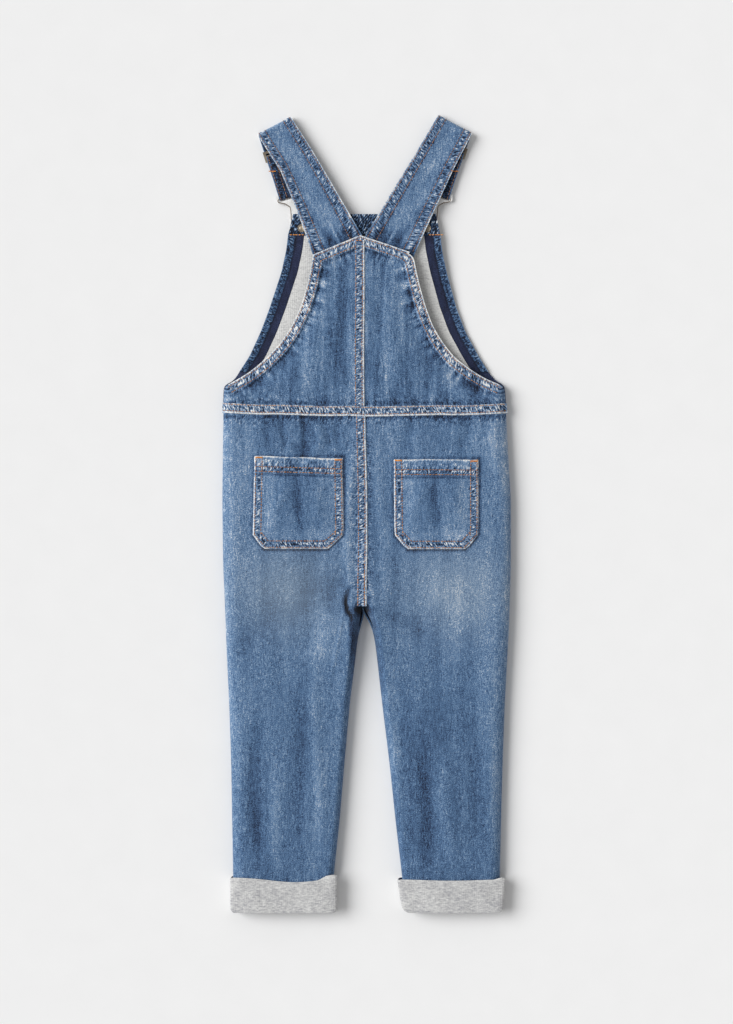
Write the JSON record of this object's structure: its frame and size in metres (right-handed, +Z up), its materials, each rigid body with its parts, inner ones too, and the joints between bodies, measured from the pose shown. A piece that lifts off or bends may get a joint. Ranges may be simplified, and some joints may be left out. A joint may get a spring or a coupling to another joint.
{
  "type": "kids denim dungarees",
  "caption": "Toddler denim dungarees laid flat face down: felled seams, two hip patch pockets, straps from the middle of the back with hook buckles, jersey lining in bib and turn-ups.",
  "frame": {"origin": "on the surface under the middle of the garment, centre of the underside of its bounding box", "axes": "+Y from the turn-ups to the shoulders, +X towards the wearer's right, +Z up from the surface, out of the garment's back"},
  "size_m": [0.2892, 0.7954, 0.0179],
  "materials": {
    "denim": "mid-blue stone-washed cotton denim twill with orange topstitching",
    "denim_seam": "washed denim, felled or turned, puckered and worn pale on its folds",
    "indigo_facing": "dark indigo unwashed inside of the denim",
    "melange_jersey": "grey melange cotton jersey",
    "nickel": "nickel-plated pressed steel, satin",
    "brass": "antique brass plated, satin"
  },
  "bodies": {
    "root": {"back_leg_left": "denim", "back_leg_right": "denim", "front_leg_left": "denim", "front_leg_right": "denim", "back_bodice_left": "denim", "back_bodice_right": "denim", "front_bib": "denim", "pocket_left": "denim", "pocket_right": "denim", "strap_left": "denim", "strap_right": "denim", "seat_fell": "denim_seam", "waist_fell": "denim_seam", "centre_back_fell": "denim_seam", "back_top_hem": "denim_seam", "armhole_hem_left": "denim_seam", "armhole_hem_right": "denim_seam", "bib_top_hem": "denim_seam", "armhole_facing_left": "indigo_facing", "armhole_facing_right": "indigo_facing", "bib_lining": "melange_jersey", "turn_up_left": "melange_jersey", "turn_up_right": "melange_jersey", "buckle_left": "nickel", "buckle_right": "nickel", "bib_button_left": "nickel", "bib_button_right": "nickel", "slider_left": "brass", "slider_right": "brass", "button_tack_left": "brass", "button_tack_right": "brass"}
  },
  "joints": []
}
